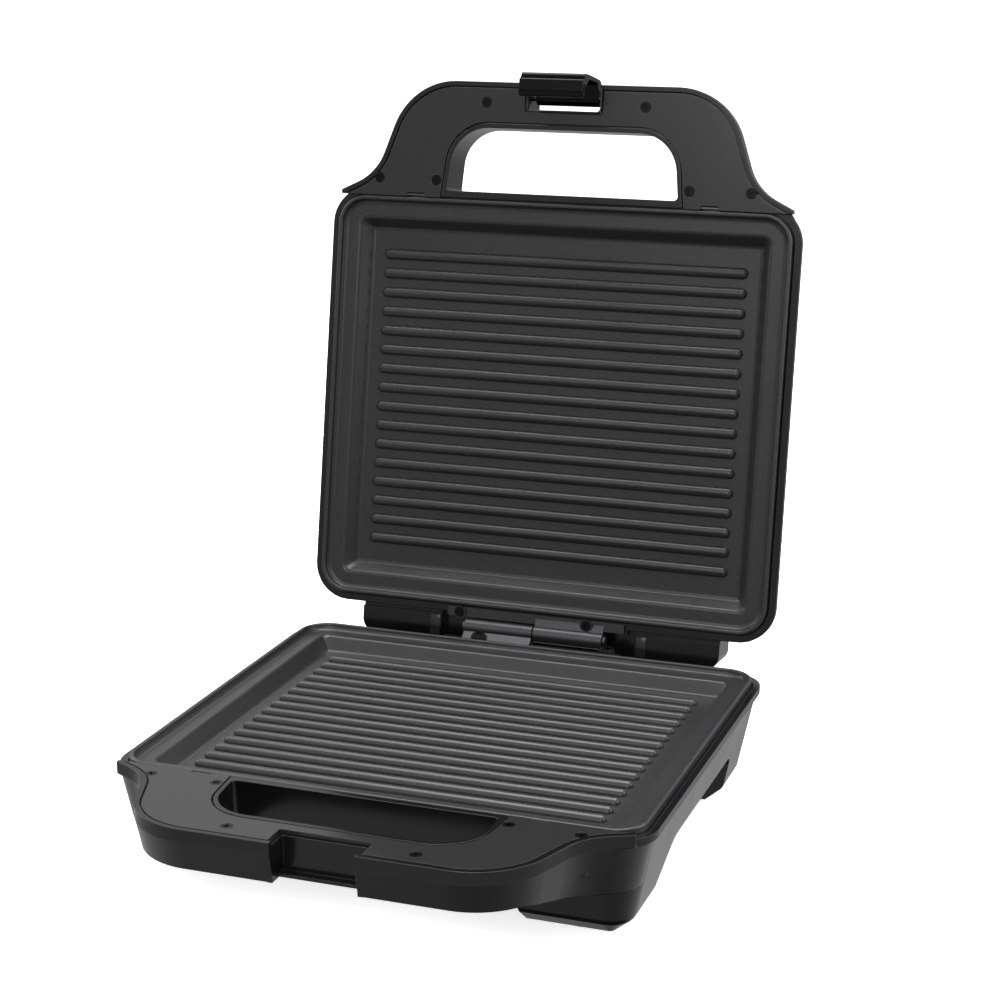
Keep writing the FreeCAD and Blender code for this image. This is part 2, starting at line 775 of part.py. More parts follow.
def make_lid_housing():
    """Upper casing: drafted wall, crowned top, handle hoop with the latch notch, rear lobes."""
    body = new_body("lid_housing")
    outer = body_outline()
    pad(body, "rim_lip", "rim_lip - lid_shoulder", [outer], down=True, taper="-draft")
    shrink = size("(rim_lip - lid_shoulder) * tan(draft)")
    shoulder = inset(outer, [shrink] * 4)
    crown = "lid_shoulder - lid_crown"
    pad(body, "lid_shoulder", crown, [shoulder], down=True, taper="-lid_shoulder_taper")
    doc.recompute()
    round_edges(body, flat_edges(body.Shape, size("lid_shoulder")), "lid_shoulder_round")
    round_edges(body, flat_edges(body.Shape, size("lid_crown")), "lid_shoulder_round")
    add_hoop(body, "lid_shoulder")
    inside_x, outside_x, rear, corner = sizes(
        "lobe_inside_x", "lobe_outside_x", "lobe_rear_y", "lobe_corner"
    )
    front = size("plate_half_depth - 12")
    lobes = []
    for side in (-1, 1):
        near, far = side * inside_x, side * outside_x
        lobes.append([(near, front, 0.0), (far, front, 0.0), (far, rear, corner), (near, rear, corner)])
    pad(body, "lobe_face", "lobe_face - (lid_crown + 4)", lobes, down=True, taper="-lobe_draft")
    bridge = box_outline(inside_x + corner, front, size("bridge_rear_y"))
    pad(body, "bridge_face", "bridge_face - (lid_crown + 4)", [bridge], down=True, taper="-lobe_draft")
    inner = inset(outer, [size("wall")] * 4)
    pocket(body, "rim_lip", "rim_lip - lid_shoulder", [inner], taper="-draft")
    pocket(body, "lip_top", "lip_top - rim_lip", [inner])
    inner_shoulder = inset(inner, [shrink] * 4)
    depth = "lid_shoulder - (lid_crown + wall)"
    pocket(body, "lid_shoulder", depth, [inner_shoulder], taper="-lid_shoulder_taper")
    wall = size("wall")
    cores = []
    for side in (-1, 1):
        near, far = side * (inside_x + wall), side * (outside_x - wall)
        low, high = sizes("lid_shoulder - 4", "lobe_face - wall")
        cores.append([(near, low, 0.0), (far, low, 0.0), (far, high, 0.0), (near, high, 0.0)])
    core_start = "7 - plate_half_depth"
    pocket(body, core_start, f"lobe_rear_y - wall + {core_start}", cores, plane="XZ_Plane")
    hollow_hoop(body, "lid_shoulder", False)
    seat_rim(body)
    add_posts(body, "lid_post_bottom")
    pivot = [(*sizes("latch_pivot_y", "latch_pivot_z"), "latch_pin_radius")]
    reach = "notch_half_width + wall - 0.3"
    pocket(body, f"notch_x + {reach}", f"2 * ({reach})", circles=pivot, plane="YZ_Plane")
    lenses = [(x, y, "lens_radius") for x, y in lens_places()]
    pocket(body, "lid_crown + wall + 1", "wall + 2", circles=lenses)
    screw_into_wall(body)
    return body


# ---------------------------------------------------------------- handle liners


def make_handle_liner(label):
    """Flat U-shaped cover of the hoop, countersunk for six screws."""
    body = new_body(label)
    outline = liner_outline(size("wall + liner_gap"), 0.0, 0.0)
    pad(body, "lip_top", "liner_thickness", [outline], down=True)
    half, depth = sizes("notch_half_width + liner_gap + 1.2", "notch_depth + liner_gap + 0.8")
    pocket(body, "lip_top", "liner_thickness", [notch_box(half, -5.0, depth)])
    places = both_sides(LINER_SCREWS)
    heads = [(x, y, "screw_head_radius + 0.05") for x, y in places]
    cone = "-atan((screw_head_radius - screw_radius) / screw_head_depth)"
    pocket(body, "lip_top", "screw_head_depth", circles=heads, taper=cone)
    holes = [(x, y, "screw_radius") for x, y in places]
    pocket(body, "lip_top", "liner_thickness", circles=holes)
    pocket(body, "lip_top", "liner_thickness", clip_slots())
    return body


# ---------------------------------------------------------------- hinge


def make_hinge_leaf(label, axis_height, pad_top):
    """Die-cast leaf: a bar, two screw pads, a web and one knuckle left of the middle."""
    body = new_body(label)
    half, front, rear = sizes("leaf_half_length", "leaf_front_y", "leaf_rear_y")
    pad(body, "rim_top", "leaf_thickness", [box_outline(half, front, rear, 1.0)])
    places = hinge_screw_places()
    pads = [(x, y, "leaf_pad_radius") for x, y in places]
    pad(body, "rim_top", f"{pad_top} - rim_top", circles=pads)
    block_y, block_half = (front + rear) / 2 + 0.4, (rear - front) / 2 - 0.4
    blocks = [box_at(x, block_y, size("leaf_pad_radius + 0.8"), block_half, 1.0) for x, y in places]
    pad(body, "rim_top", f"{pad_top} - rim_top - 1.2", blocks)
    hinge_y, axis_z, radius, low, thick = sizes(
        "hinge_y", axis_height, "knuckle_radius", "rim_top", "leaf_thickness"
    )
    web = [
        (rear - 3, low, 0.0),
        (rear + 2 * size("fit_gap"), low, 0.0),
        (hinge_y, axis_z - radius * 0.97, 0.0),
        (hinge_y, axis_z + radius * 0.6, 0.0),
        (rear - 3, low + thick, 0.0),
    ]
    start = "-(knuckle_length + knuckle_gap / 2)"
    pad(body, start, "knuckle_length", [web], plane="YZ_Plane")
    knuckle = [(hinge_y, axis_z, "knuckle_radius")]
    pad(body, start, "knuckle_length", circles=knuckle, plane="YZ_Plane")
    bore = [(hinge_y, axis_z, "hinge_pin_radius + hinge_pin_clearance")]
    pocket(body, "100", "200", circles=bore, plane="YZ_Plane")
    heads = [(x, y, "screw_head_radius + 0.05") for x, y in places]
    cone = "-atan((screw_head_radius - screw_radius) / screw_head_depth)"
    pocket(body, pad_top, "screw_head_depth", circles=heads, taper=cone)
    holes = [(x, y, "screw_radius") for x, y in places]
    pocket(body, pad_top, f"{pad_top} - rim_top", circles=holes)
    return body


def make_hinge_pin():
    """Straight pin through both knuckles, with a small head at each end."""
    body = new_body("hinge_pin")
    axis = [(*sizes("hinge_y", "hinge_z"), "hinge_pin_radius")]
    ends = [(*sizes("hinge_y", "hinge_z"), "hinge_pin_radius + 0.9")]
    reach = "knuckle_length + knuckle_gap / 2 + 0.3"
    pad(body, f"-({reach})", f"2 * ({reach})", circles=axis, plane="YZ_Plane")
    pad(body, reach, "1.2", circles=ends, plane="YZ_Plane")
    pad(body, f"-({reach})", "1.2", circles=ends, plane="YZ_Plane", down=True)
    return body


# ---------------------------------------------------------------- latch


def make_latch():
    """Clip that swings on the lid's hoop; its barb hooks under the base's catch lip."""
    body = new_body("latch")
    start, width = "notch_x - latch_half_width", "2 * latch_half_width"
    pivot_y, pivot_z, barrel, outside, thick = sizes(
        "latch_pivot_y", "latch_pivot_z", "latch_barrel_radius", "latch_outside_y", "latch_thickness"
    )
    roll_y, barb_y, hook, end = sizes(
        "latch_roll_bottom_y",
        "latch_barb_y",
        "closed_gap - hoop_bottom + latch_barb_clearance",
        "closed_gap - hoop_bottom + latch_barb_clearance + latch_barb_thickness",
    )
    profile = [
        (pivot_y, pivot_z - barrel, 0.0),
        (pivot_y - 5.5, pivot_z - barrel, 2.0),
        (outside + 0.8, pivot_z + 2.5, 4.0),
        (outside, hook - 8.0, 20.0),
        (outside, end - 3.5, 2.0),
        (outside + 2.4, end - 2.6, 0.8),
        (outside + 2.6, end - 3.4, 0.4),
        (outside + 3.4, end - 0.4, 1.2),
        (roll_y - 1.0, end + 0.3, 2.5),
        (barb_y, end - 1.2, 0.8),
        (barb_y, hook, 0.7),
        (roll_y - 2.0, hook, 1.0),
        (roll_y - 4.5, hook - 2.5, 2.0),
        (outside + thick, hook - 6.5, 3.0),
        (outside + thick, pivot_z + 6.5, 3.0),
        (pivot_y, pivot_z + barrel, 0.0),
    ]
    pad(body, start, width, [profile], plane="YZ_Plane")
    pad(body, start, width, circles=[(pivot_y, pivot_z, "latch_barrel_radius")], plane="YZ_Plane")
    bore = [(pivot_y, pivot_z, "latch_pin_radius + latch_pin_clearance")]
    pocket(body, "100", "200", circles=bore, plane="YZ_Plane")
    return body


def make_latch_pin():
    body = new_body("latch_pin")
    reach = "notch_half_width + wall - 0.3"
    pivot = [(*sizes("latch_pivot_y", "latch_pivot_z"), "latch_pin_radius")]
    pad(body, f"notch_x - ({reach})", f"2 * ({reach})", circles=pivot, plane="YZ_Plane")
    return body


# ---------------------------------------------------------------- heating and electrical pieces


def make_reflector(label):
    """Pressed sheet tray that carries the heating element under the plate."""
    body = new_body(label)
    half_x, half_y, corner, flange, sheet_t = sizes(
        "reflector_half_width",
        "reflector_half_depth",
        "reflector_corner",
        "reflector_flange_width",
        "reflector_sheet",
    )
    inside = box_outline(half_x, -half_y, half_y, corner)
    rim, tray = inset(inside, [-flange] * 4), inset(inside, [-sheet_t] * 4)
    pad(body, "reflector_flange_top", "reflector_sheet", [rim], down=True)
    depth = "reflector_flange_top - reflector_floor"
    pad(body, "reflector_flange_top", f"{depth} + reflector_sheet", [tray], down=True)
    pocket(body, "reflector_flange_top", depth, [inside])
    holes = [(x, y, "screw_radius") for x, y in post_places()]
    pocket(body, "reflector_flange_top", "reflector_sheet", circles=holes)
    tail_x, tail_half = sizes("element_tail_x", "element_radius + 1.2")
    tails = [box_at(side * tail_x, half_y + flange / 2, tail_half, flange / 2 + 4) for side in (-1, 1)]
    pocket(body, "reflector_flange_top", depth, tails)
    return body


def make_heating_element(label):
    """Tubular element: one loop round the tray with both tails leaving at the rear."""
    body = new_body(label)
    half_x, half_y, bend, tail_x = sizes(
        "element_half_width", "element_half_depth", "element_bend", "element_tail_x"
    )
    tail_end = size("reflector_half_depth + 9")
    height = "reflector_floor + element_radius + 0.03"
    route = [
        (tail_x, tail_end, 0.0),
        (tail_x, half_y, bend),
        (half_x, half_y, bend),
        (half_x, -half_y, bend),
        (-half_x, -half_y, bend),
        (-half_x, half_y, bend),
        (-tail_x, half_y, bend),
        (-tail_x, tail_end, 0.0),
    ]
    path = new_sketch(body, "XY_Plane", height)
    path.addGeometry(rounded(route)[:-1], False)
    section = draw(body, "XZ_Plane", f"-{tail_end}", circles=[(tail_x, size(height), "element_radius")])
    tube = body.newObject("PartDesign::AdditivePipe", f"{label}_tube")
    tube.Profile = section
    tube.Spine = (path, [])
    return body


def make_round(label, centre, low, height, radius):
    """A plain round piece that stands on a level."""
    body = new_body(label)
    pad(body, low, height, circles=[(*centre, radius)])
    return body


def make_cord_bushing():
    """Flanged bush that lines the cord's hole in the rear wall."""
    body = new_body("cord_inlet_bushing")
    centre = sizes("cord_inlet_x", "cord_inlet_z")
    flange, barrel, hole = [
        [(*centre, radius)]
        for radius in ("bushing_flange_radius", "bushing_radius", "cord_hole_radius")
    ]
    face = "-inlet_face_y"
    pad(body, face, "bushing_flange", circles=flange, plane="XZ_Plane", down=True)
    pad(body, face, "7", circles=barrel, plane="XZ_Plane")
    pocket(body, f"{face} - 20", "60", circles=hole, plane="XZ_Plane", up=True)
    return body


# ---------------------------------------------------------------- screws, feet, clips, lamps


def make_screws(label, places, height):
    """Countersunk cross-head screws with their heads' tops at one height, as one group."""
    head_r, shank_r, depth, length, slot, top = sizes(
        "screw_head_radius", "screw_radius", "screw_head_depth", "screw_length", "cross_width", height
    )
    head = Part.makeCone(shank_r, head_r, depth, Vector(0, 0, -depth))
    shank = Part.makeCylinder(shank_r, length, Vector(0, 0, -length))
    cross = Part.makeBox(head_r * 1.2, slot, 1.0, Vector(-head_r * 0.6, -slot / 2, -1.0))
    turned = cross.copy()
    turned.rotate(Vector(0, 0, 0), Vector(0, 0, 1), 90)
    screw = head.fuse(shank).cut(cross.fuse(turned)).removeSplitter()
    copies = []
    for number, (x, y) in enumerate(places):
        copy = screw.copy()
        copy.rotate(Vector(0, 0, 0), Vector(0, 0, 1), 37 * number)
        copy.translate(Vector(x, y, top))
        copies.append(copy)
    group = doc.addObject("Part::Feature", label)
    group.Label = label
    group.Shape = Part.makeCompound(copies)
    return group


def make_rubber_feet():
    """Four round pads pressed into the legs."""
    pads = []
    radius, recess, low, floor, edge_r = sizes(
        "foot_radius", "foot_recess", "leg_bottom", "-rib_floor_height", "foot_edge_round"
    )
    for x, y in foot_places():
        foot = Part.makeCylinder(radius, low + recess - floor, Vector(x, y, floor))
        underside = [edge for edge in foot.Edges if edge.BoundBox.ZMax < floor + 0.1]
        pads.append(foot.makeFillet(edge_r, underside))
    feet = doc.addObject("Part::Feature", "rubber_feet")
    feet.Label = "rubber_feet"
    feet.Shape = Part.makeCompound(pads)
    return feet


def make_plate_clips(label):
    """Two spring clips behind the hoop whose teeth hold the plate's front edge."""
    half, sheet_t, rear, top = sizes("clip_width / 2", "clip_sheet", "-handle_rear", "lip_top - 0.3")
    tooth_low = size("ledge_top - 2.4")
    leaf_y = rear - 1.4
    curl_r = sheet_t / 2 + 0.1
    clips = []
    for side in (-1, 1):
        x = side * size("clip_x") - half
        leaf = Part.makeBox(2 * half, sheet_t, top + 1.5, Vector(x, leaf_y, -1.5))
        tooth = Part.makeBox(2 * half, 2.4, 1.0, Vector(x, leaf_y, tooth_low))
        curl_start = Vector(x, leaf_y + curl_r, top - 0.5)
        curl = Part.makeCylinder(curl_r, 2 * half, curl_start, Vector(1, 0, 0))
        clips.append(leaf.fuse([tooth, curl]).removeSplitter())
    group = doc.addObject("Part::Feature", label)
    group.Label = label
    group.Shape = Part.makeCompound(clips)
    return group


def make_lens(label, index):
    """Coloured lens of an indicator lamp, flanged inside the lid."""
    body = new_body(label)
    centre = lens_places()[index]
    pad(body, "lid_crown - 0.6", "wall + 0.6", circles=[(*centre, "lens_radius")])
    pad(body, "lid_crown + wall", "lens_flange", circles=[(*centre, "lens_radius + 1.5")])
    doc.recompute()
    round_edges(body, flat_edges(body.Shape, size("lid_crown - 0.6")), "0.5")
    return body


def make_indicator_lamps():
    """Two neon lamps standing on the lenses."""
    low = size("lid_crown + wall + lens_flange")
    lamps = []
    for x, y in lens_places():
        glass = Part.makeCylinder(2.4, 8.0, Vector(x, y, low))
        dome = Part.makeSphere(2.4, Vector(x, y, low + 8.0))
        lamps.append(glass.fuse(dome).removeSplitter())
    group = doc.addObject("Part::Feature", "indicator_lamps")
    group.Label = "indicator_lamps"
    group.Shape = Part.makeCompound(lamps)
    return group


def make_terminal_block():
    """Block on the base's floor where the mains and the element's leads are clamped."""
    body = new_body("terminal_block")
    floor = "base_wall_bottom + base_floor_thickness"
    centre_x, centre_y = 46.0, size("reflector_half_depth + 8.5")
    pad(body, floor, "8", [box_at(centre_x, centre_y, 15.0, 5.0, 1.0)])
    wells = [(centre_x + step, centre_y, "screw_head_radius") for step in (-9.5, 0.0, 9.5)]
    pocket(body, f"{floor} + 8", "4", circles=wells)
    return body


BASE, LID = base_placement(), lid_placement()


def keep(piece, placement):
    """Put a piece, drawn in its half's frame, into the row frame and note it as a sub-part."""
    piece.Placement = placement * piece.Placement
    SUBPARTS.append(piece)


doc.recompute()
for prefix, placement in (("base", BASE), ("lid", LID)):
    keep(make_grill_plate(f"{prefix}_grill_plate"), placement)
    keep(make_rim(f"{prefix}_rim"), placement)
    keep(make_handle_liner(f"{prefix}_handle_liner"), placement)
    keep(make_reflector(f"{prefix}_reflector"), placement)
    keep(make_heating_element(f"{prefix}_heating_element"), placement)
    keep(make_screws(f"{prefix}_liner_screws", both_sides(LINER_SCREWS), "lip_top"), placement)
    flange = "reflector_flange_top + screw_head_depth"
    keep(make_screws(f"{prefix}_reflector_screws", post_places(), flange), placement)
    keep(make_plate_clips(f"{prefix}_plate_clips"), placement)
keep(make_base_housing(), BASE)
keep(make_lid_housing(), LID)
keep(make_hinge_leaf("hinge_lower_leaf", "hinge_z", "leaf_pad_top"), BASE)
keep(make_hinge_leaf("hinge_upper_leaf", "closed_gap - hinge_z", "upper_pad_top"), LID)
keep(make_screws("hinge_lower_screws", hinge_screw_places(), "leaf_pad_top"), BASE)
keep(make_screws("hinge_upper_screws", hinge_screw_places(), "upper_pad_top"), LID)
keep(make_hinge_pin(), BASE)
keep(make_latch(), LID)
keep(make_latch_pin(), LID)
keep(make_rubber_feet(), BASE)
keep(make_cord_bushing(), BASE)
keep(make_terminal_block(), BASE)
floor = "base_wall_bottom + base_floor_thickness"
bay = size("reflector_half_depth + 8.5")
keep(make_round("thermostat", (-14.0, bay), floor, "8", "6"), BASE)
keep(make_round("thermal_fuse", (14.0, bay), floor, "9", "2.2"), BASE)
keep(make_lens("power_indicator_lens", 0), LID)
keep(make_lens("ready_indicator_lens", 1), LID)
keep(make_indicator_lamps(), LID)
doc.recompute()

for piece in doc.Objects:
    if "Invalid" in piece.State or "Error" in piece.State:
        raise RuntimeError(f"{piece.Label} did not build: {piece.State}")
for piece in SUBPARTS:
    if piece.Shape.isNull() or not piece.Shape.isValid():
        raise RuntimeError(f"{piece.Label} has no valid shape")

os.makedirs("parts", exist_ok=True)
for piece in SUBPARTS:
    piece.Shape.exportStep(f"parts/{piece.Label}.step")
    print(piece.Label, len(piece.Shape.Solids), "solid", round(piece.Shape.Volume), "mm3")
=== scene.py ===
import json
import math

import bmesh
import bpy
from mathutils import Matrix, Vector


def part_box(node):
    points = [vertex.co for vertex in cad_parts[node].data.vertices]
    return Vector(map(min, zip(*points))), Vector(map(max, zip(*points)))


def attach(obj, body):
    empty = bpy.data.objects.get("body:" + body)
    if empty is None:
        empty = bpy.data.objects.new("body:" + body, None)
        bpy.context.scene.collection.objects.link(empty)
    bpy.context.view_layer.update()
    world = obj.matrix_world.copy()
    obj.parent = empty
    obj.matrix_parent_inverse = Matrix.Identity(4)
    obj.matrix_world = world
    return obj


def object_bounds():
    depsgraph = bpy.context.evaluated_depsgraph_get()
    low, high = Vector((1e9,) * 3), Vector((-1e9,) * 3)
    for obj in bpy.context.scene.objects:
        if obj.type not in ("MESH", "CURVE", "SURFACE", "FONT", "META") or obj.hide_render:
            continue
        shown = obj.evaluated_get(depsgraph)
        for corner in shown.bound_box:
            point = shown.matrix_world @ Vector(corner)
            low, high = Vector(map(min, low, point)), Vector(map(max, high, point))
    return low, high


# A panini press, open, in black plastic and dark non-stick.  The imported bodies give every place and
# size; this script adds small details, the finishes, whose shading softens sharp edges, and a studio.

MM = 0.001

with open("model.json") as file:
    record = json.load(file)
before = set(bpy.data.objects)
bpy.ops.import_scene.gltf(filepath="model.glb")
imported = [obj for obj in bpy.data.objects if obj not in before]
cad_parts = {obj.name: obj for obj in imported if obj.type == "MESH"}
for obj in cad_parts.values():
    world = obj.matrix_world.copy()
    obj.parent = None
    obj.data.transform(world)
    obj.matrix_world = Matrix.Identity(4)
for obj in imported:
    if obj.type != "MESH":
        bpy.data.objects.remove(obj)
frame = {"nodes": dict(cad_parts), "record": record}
cad_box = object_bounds()
NODES = frame["nodes"]
BODY_OF = {
    node: body
    for body, nodes in frame["record"]["behaviour"]["bodies"].items()
    for node in nodes
}
SLOT_OF = {part["node"]: part["material_slot"] for part in frame["record"]["subparts"]}


# ---------------------------------------------------------------- materials

SMOOTHEST = 0.02
SECOND_TINT = 1.25
BEVEL_SAMPLES = 6

# The part of a noise's range that most of its values lie in.
USUAL_LOW, USUAL_HIGH = 0.3, 0.7

# Places of a Mix node's colour sockets.
MIX_FIRST, MIX_SECOND, MIX_RESULT = 6, 7, 2


def new_material(name):
    """A material with its shader, and a function that adds nodes to it."""
    material = bpy.data.materials.new(name)
    material.use_nodes = True
    tree = material.node_tree
    shader = tree.nodes["Principled BSDF"]

    def add(kind, **values):
        node = tree.nodes.new(f"ShaderNode{kind}")
        for key, value in values.items():
            if key in node.inputs:
                node.inputs[key].default_value = value
            else:
                setattr(node, key, value)
        return node

    return material, tree.links, shader, add


def surface(
    name,
    colour,
    roughness,
    metallic=0.0,
    tint=None,
    speck_size=0.8,
    speck_share=0.5,
    speck_soft=0.25,
    grain_size=0.35,
    grain_height=0.0,
    wear=0.06,
    wear_size=30.0,
    transmission=0.0,
    edge=0.0,
    specular=0.5,
):
    """Coloured finish with specks of a second tint, a fine grain and cloudy wear.

    Sizes are in mm.  edge is the radius that the shading gives to sharp edges.
    """
    material, link, shader, add = new_material(name)
    place = add("TexCoord").outputs["Object"]
    second = tint or [min(1.0, c * SECOND_TINT) for c in colour]

    specks = add("TexNoise", Scale=1 / (speck_size * MM), Detail=2.0, Roughness=0.6)
    link.new(place, specks.inputs["Vector"])
    spread = add("MapRange")
    spread.inputs["From Min"].default_value = 1 - speck_share - speck_soft / 2
    spread.inputs["From Max"].default_value = 1 - speck_share + speck_soft / 2
    link.new(specks.outputs["Fac"], spread.inputs["Value"])
    blend = add("Mix", data_type="RGBA")
    blend.inputs[MIX_FIRST].default_value = (*colour, 1.0)
    blend.inputs[MIX_SECOND].default_value = (*second, 1.0)
    link.new(spread.outputs["Result"], blend.inputs["Factor"])
    link.new(blend.outputs[MIX_RESULT], shader.inputs["Base Color"])

    clouds = add("TexNoise", Scale=1 / (wear_size * MM), Detail=4.0, Roughness=0.55)
    link.new(place, clouds.inputs["Vector"])
    worn = add("MapRange")
    worn.inputs["From Min"].default_value = USUAL_LOW
    worn.inputs["From Max"].default_value = USUAL_HIGH
    worn.inputs["To Min"].default_value = max(SMOOTHEST, roughness - wear / 2)
    worn.inputs["To Max"].default_value = roughness + wear / 2
    link.new(clouds.outputs["Fac"], worn.inputs["Value"])
    link.new(worn.outputs["Result"], shader.inputs["Roughness"])

    normal = None
    if edge:
        rounding = add("Bevel", samples=BEVEL_SAMPLES)
        rounding.inputs["Radius"].default_value = edge * MM
        normal = rounding.outputs["Normal"]
    if grain_height:
        grain = add("TexNoise", Scale=1 / (grain_size * MM), Detail=2.0, Roughness=0.5)
        link.new(place, grain.inputs["Vector"])
        bump = add("Bump", Strength=0.6, Distance=grain_height * MM)
        link.new(grain.outputs["Fac"], bump.inputs["Height"])
        if normal:
            link.new(normal, bump.inputs["Normal"])
        normal = bump.outputs["Normal"]
    if normal:
        link.new(normal, shader.inputs["Normal"])

    shader.inputs["Metallic"].default_value = metallic
    shader.inputs["Specular IOR Level"].default_value = specular
    shader.inputs["Transmission Weight"].default_value = transmission
    return material


def make_materials():
    return {
        "housing": surface(
            "satin_black_housing", (0.003, 0.003, 0.0035), 0.2, grain_height=0.002, edge=0.6
        ),
        "rim": surface("gloss_black_rim", (0.004, 0.004, 0.0045), 0.16, edge=0.4),
        "nonstick": surface(
            "speckled_nonstick",
            (0.016, 0.016, 0.0165),
            0.33,
            tint=(0.04, 0.04, 0.042),
            speck_size=0.4,
            speck_share=0.45,
            speck_soft=0.2,
            grain_size=0.5,
            grain_height=0.015,
            wear=0.08,
            edge=0.25,
        ),
        "liner": surface("satin_liner", (0.016, 0.016, 0.0165), 0.2, wear=0.03, edge=0.3),
        "latch": surface(
            "gloss_black_latch", (0.002, 0.002, 0.0022), 0.16, edge=0.5, specular=0.16
        ),
        "screws": surface("black_oxide", (0.0015, 0.0015, 0.0015), 0.24, edge=0.1, specular=0.2),
        "hinge": surface("dark_zinc", (0.06, 0.06, 0.062), 0.38, metallic=0.9, grain_height=0.01),
        "spring_steel": surface("spring_steel", (0.10, 0.10, 0.102), 0.35, metallic=1.0),
        "reflector": surface("aluminised_sheet", (0.62, 0.63, 0.64), 0.3, metallic=1.0),
        "element": surface("tinted_tube", (0.20, 0.18, 0.16), 0.4, metallic=1.0),
        "rubber": surface("black_rubber", (0.02, 0.02, 0.02), 0.75, grain_height=0.02),
        "bushing": surface("matt_black_bush", (0.014, 0.014, 0.015), 0.5),
        "electrical": surface("cream_plastic", (0.6, 0.56, 0.48), 0.5),
        "red_lens": surface("red_lens", (0.5, 0.015, 0.01), 0.15, transmission=0.5),
        "green_lens": surface("green_lens", (0.015, 0.35, 0.05), 0.15, transmission=0.5),
        "lamp_glass": surface("lamp_glass", (0.9, 0.88, 0.85), 0.08, transmission=0.9),
    }


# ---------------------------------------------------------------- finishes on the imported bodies

MATERIALS = make_materials()

for node, thing in NODES.items():
    thing.data.materials.clear()
    thing.data.materials.append(MATERIALS[SLOT_OF[node]])


# ---------------------------------------------------------------- details made here

# Directions of the open lid: out of its plate towards the user, and up along it.
LID_SWING = math.radians(frame["record"]["behaviour"]["joints"][0]["range_deg"][1] - 90)
LID_OUT = Vector((0.0, -math.cos(LID_SWING), math.sin(LID_SWING)))
LID_UP = Vector((0.0, math.sin(LID_SWING), math.cos(LID_SWING)))

SHARP_ANGLE = math.radians(40)


def add_piece(name, work, body, slot):
    """Turn a bmesh into a smooth-shaded piece that rides on a body."""
    mesh = bpy.data.meshes.new(name)
    bmesh.ops.recalc_face_normals(work, faces=work.faces)
    work.to_mesh(mesh)
    work.free()
    mesh.shade_smooth()
    mesh.set_sharp_from_angle(angle=SHARP_ANGLE)
    mesh.materials.append(MATERIALS[slot])
    piece = bpy.data.objects.new(name, mesh)
    bpy.context.scene.collection.objects.link(piece)
    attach(piece, body)


def join_rings(work, rings):
    """Faces between each ring of points and the next."""
    for first, second in zip(rings, rings[1:]):
        sides = len(first)
        for k in range(sides):
            following = (k + 1) % sides
            work.faces.new((first[k], first[following], second[following], second[k]))


def tube(work, path, radius, sides=8):
    """Sweep a circle along a list of points on the lid's face, and cap both ends."""
    turns = [2 * math.pi * k / sides for k in range(sides)]
    rings = []
    for i, point in enumerate(path):
        before, after = path[max(i - 1, 0)], path[min(i + 1, len(path) - 1)]
        side = (after - before).normalized().cross(LID_OUT).normalized()
        ring = [point + radius * (math.cos(t) * side + math.sin(t) * LID_OUT) for t in turns]
        rings.append([work.verts.new(place) for place in ring])
    join_rings(work, rings)
    work.faces.new(rings[0][::-1])
    work.faces.new(rings[-1])


def lid_spread(node, direction):
    """Lowest and highest reach of a node's points along a direction."""
    reach = [vertex.co.dot(direction) for vertex in NODES[node].data.vertices]
    return min(reach), max(reach)


def lid_point(x, up, out):
    """The point at x, and at distances up the lid and out of it."""
    return Vector((x, 0.0, 0.0)) + up * LID_UP + out * LID_OUT


def middle_x(node):
    low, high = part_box(node)
    return (low[0] + high[0]) / 2


def add_notch_frame():
    """Thin raised frame round the latch notch, on the face of the lid's liner."""
    bead, sunk, corner, half = 0.45 * MM, 0.27 * MM, 2.6 * MM, 20.0 * MM
    above_pin, below_pin, corner_steps = 5.6 * MM, 7.2 * MM, 6
    face = lid_spread("lid_handle_liner", LID_OUT)[1] - sunk
    middle = middle_x("latch")
    pin = sum(lid_spread("latch_pin", LID_UP)) / 2
    top, bottom = pin + above_pin, pin - below_pin
    path = [lid_point(middle - half, top, face)]
    for side, start in ((-1, math.pi), (1, 1.5 * math.pi)):
        centre_x = middle + side * (half - corner)
        for step in range(corner_steps + 1):
            turn = start + step * math.pi / 2 / corner_steps
            across, rise = corner * math.cos(turn), corner * math.sin(turn)
            path.append(lid_point(centre_x + across, bottom + corner + rise, face))
    path.append(lid_point(middle + half, top, face))
    work = bmesh.new()
    tube(work, path, bead)
    add_piece("latch_notch_frame", work, "lid", "liner")


def add_mould_line(name, node):
    """A fine ridge round a moulding at its middle, where its two mould halves met.

    It is a thin slice of the moulding, swollen a little, and no higher than the whole object.
    """
    middle, half, proud, top = middle_x(node), 0.14 * MM, 0.1 * MM, cad_box[1][2]
    work = bmesh.new()
    work.from_mesh(NODES[node].data)
    for side in (-1, 1):
        everything = list(work.verts) + list(work.edges) + list(work.faces)
        plane = Vector((middle + side * half, 0.0, 0.0))
        bmesh.ops.bisect_plane(
            work, geom=everything, plane_co=plane, plane_no=(side, 0.0, 0.0), clear_outer=True
        )
    work.normal_update()
    for vertex in work.verts:
        vertex.co += vertex.normal * proud
        vertex.co.z = min(vertex.co.z, top)
    open_edges = [edge for edge in work.edges if edge.is_boundary]
    bmesh.ops.holes_fill(work, edges=open_edges)
    add_piece(name, work, BODY_OF[node], SLOT_OF[node])


def lobe_front_points():
    """Points of the two lobes' flat fronts, which stand proudest at the lid's lower end."""
    parallel, lobe_reach, same_level = 0.999, 25.0 * MM, 0.1 * MM
    mesh = NODES["lid_housing"].data
    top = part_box("lid_housing")[0][2] + lobe_reach
    level = [f for f in mesh.polygons if f.normal.dot(LID_OUT) > parallel and f.center.z < top]
    proudest = max(face.center.dot(LID_OUT) for face in level)
    fronts = [face for face in level if face.center.dot(LID_OUT) > proudest - same_level]
    return [mesh.vertices[i].co for face in fronts for i in face.vertices]


